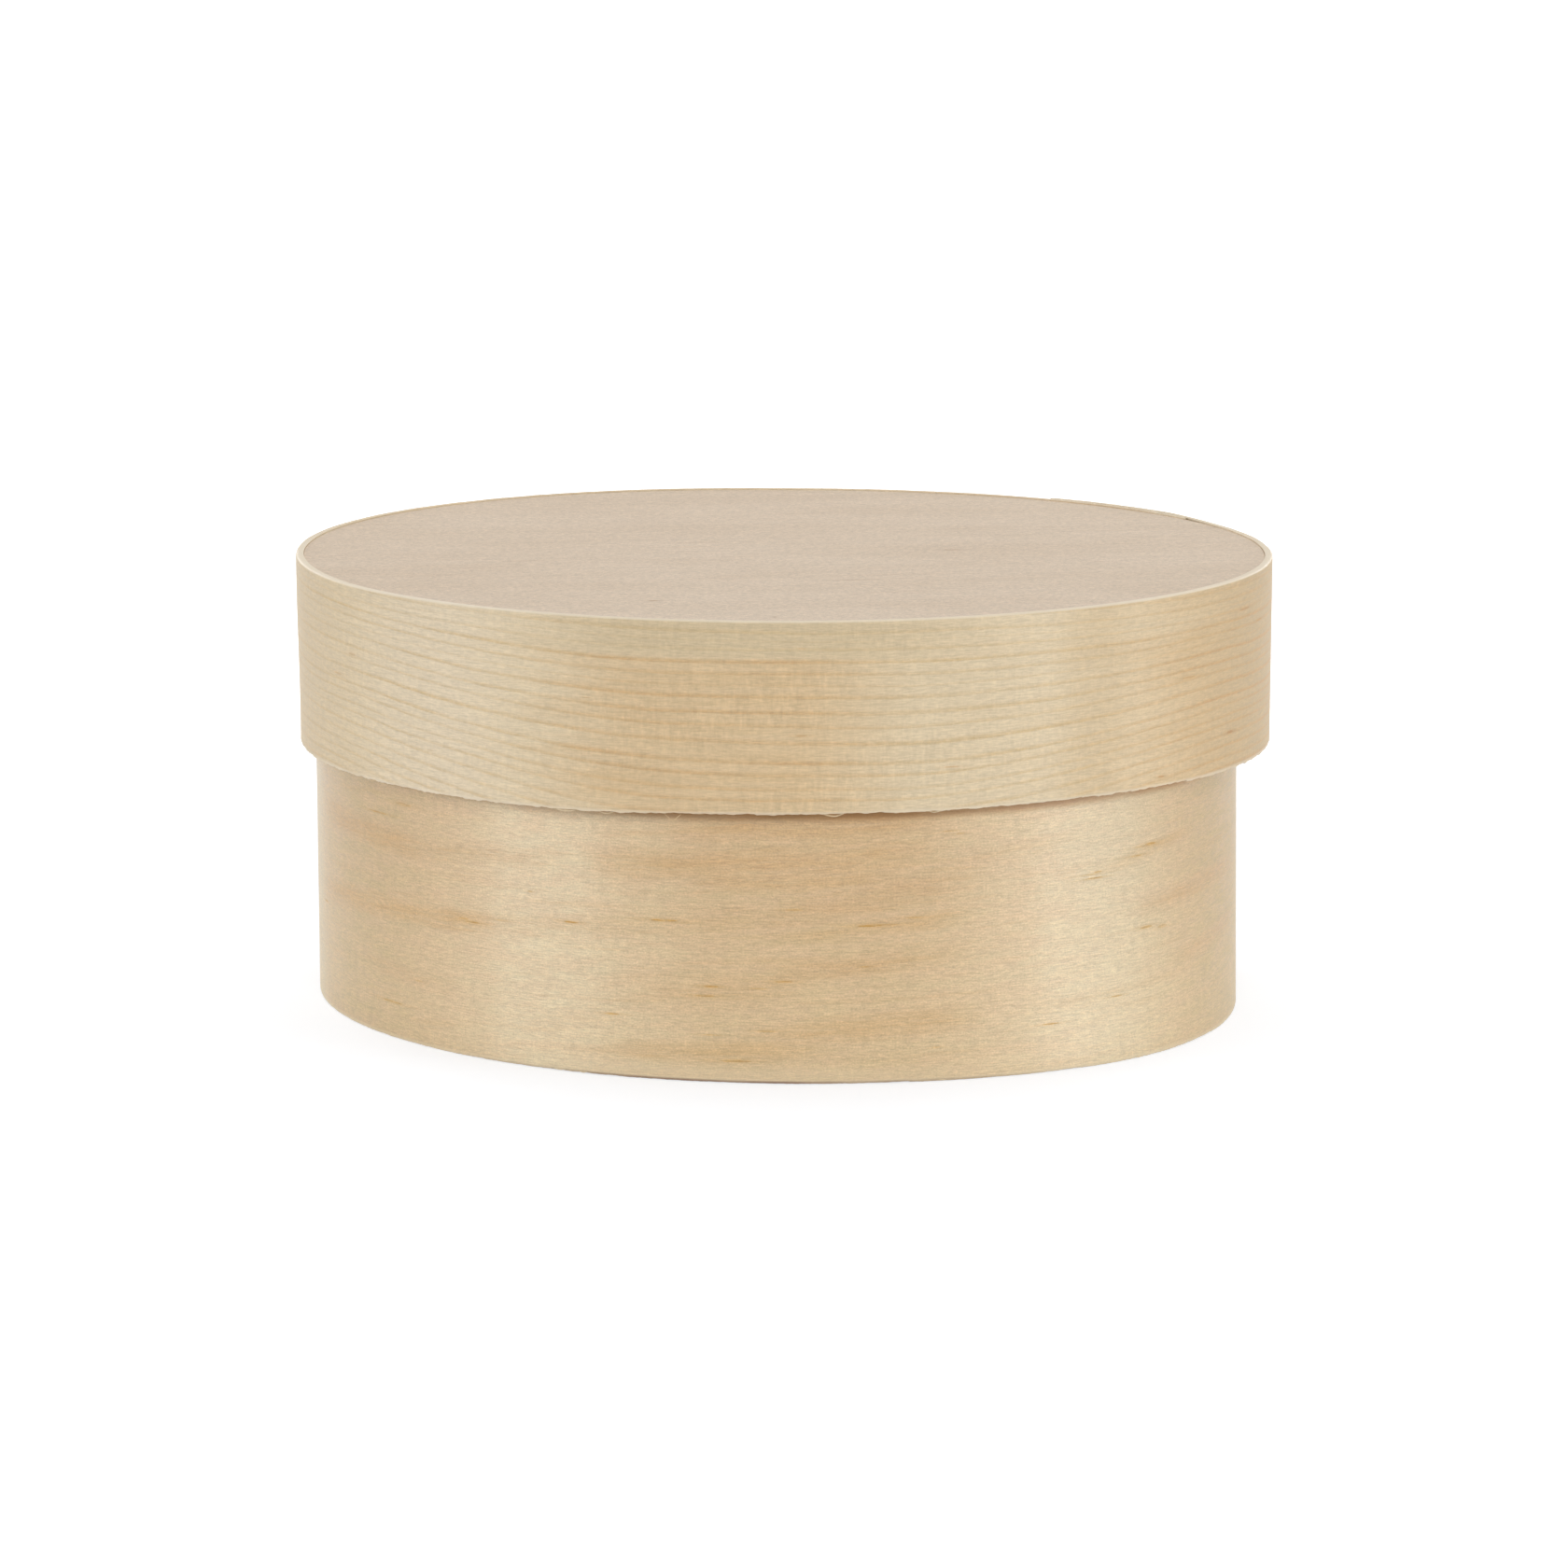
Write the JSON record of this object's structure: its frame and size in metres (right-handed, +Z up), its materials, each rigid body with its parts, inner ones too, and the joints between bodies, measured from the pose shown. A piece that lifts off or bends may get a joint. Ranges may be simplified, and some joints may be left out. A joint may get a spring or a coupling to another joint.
{
  "type": "round bentwood cheese box",
  "caption": "Round box of thin bent wood for a cheese, with an open-topped body and a shallow lid of the same make that slips over it and lifts off.",
  "frame": {"origin": "centre of the body's round underside, on the surface that the box stands on", "axes": "+Z up along the body's axis, +X to the right as seen from the front, +Y away from the front; the lapped seams are towards +Y"},
  "size_m": [0.1519, 0.152, 0.0695],
  "materials": {
    "base_board_wood": "bare, fine sanded",
    "body_band_veneer": "bare flat-sawn pine veneer, lightly sanded",
    "lid_board_wood": "bare, fine sanded",
    "lid_band_veneer": "bare quarter-sawn spruce veneer, sanded rim",
    "staple_wire": "drawn wire",
    "dried_glue": "dried wood glue, slightly glossy"
  },
  "bodies": {
    "base": {"base_board": "base_board_wood", "body_band": "body_band_veneer", "base_glue_bead": "dried_glue", "body_seam_staples": "staple_wire"},
    "lid": {"lid_top_board": "lid_board_wood", "lid_band": "lid_band_veneer", "lid_glue_bead": "dried_glue", "lid_seam_staples": "staple_wire"}
  },
  "joints": [
    {"name": "lid_lift", "type": "slide", "parent": "base", "child": "lid", "axis": [0, 0, 1], "range_m": [0, 0.1]}
  ]
}
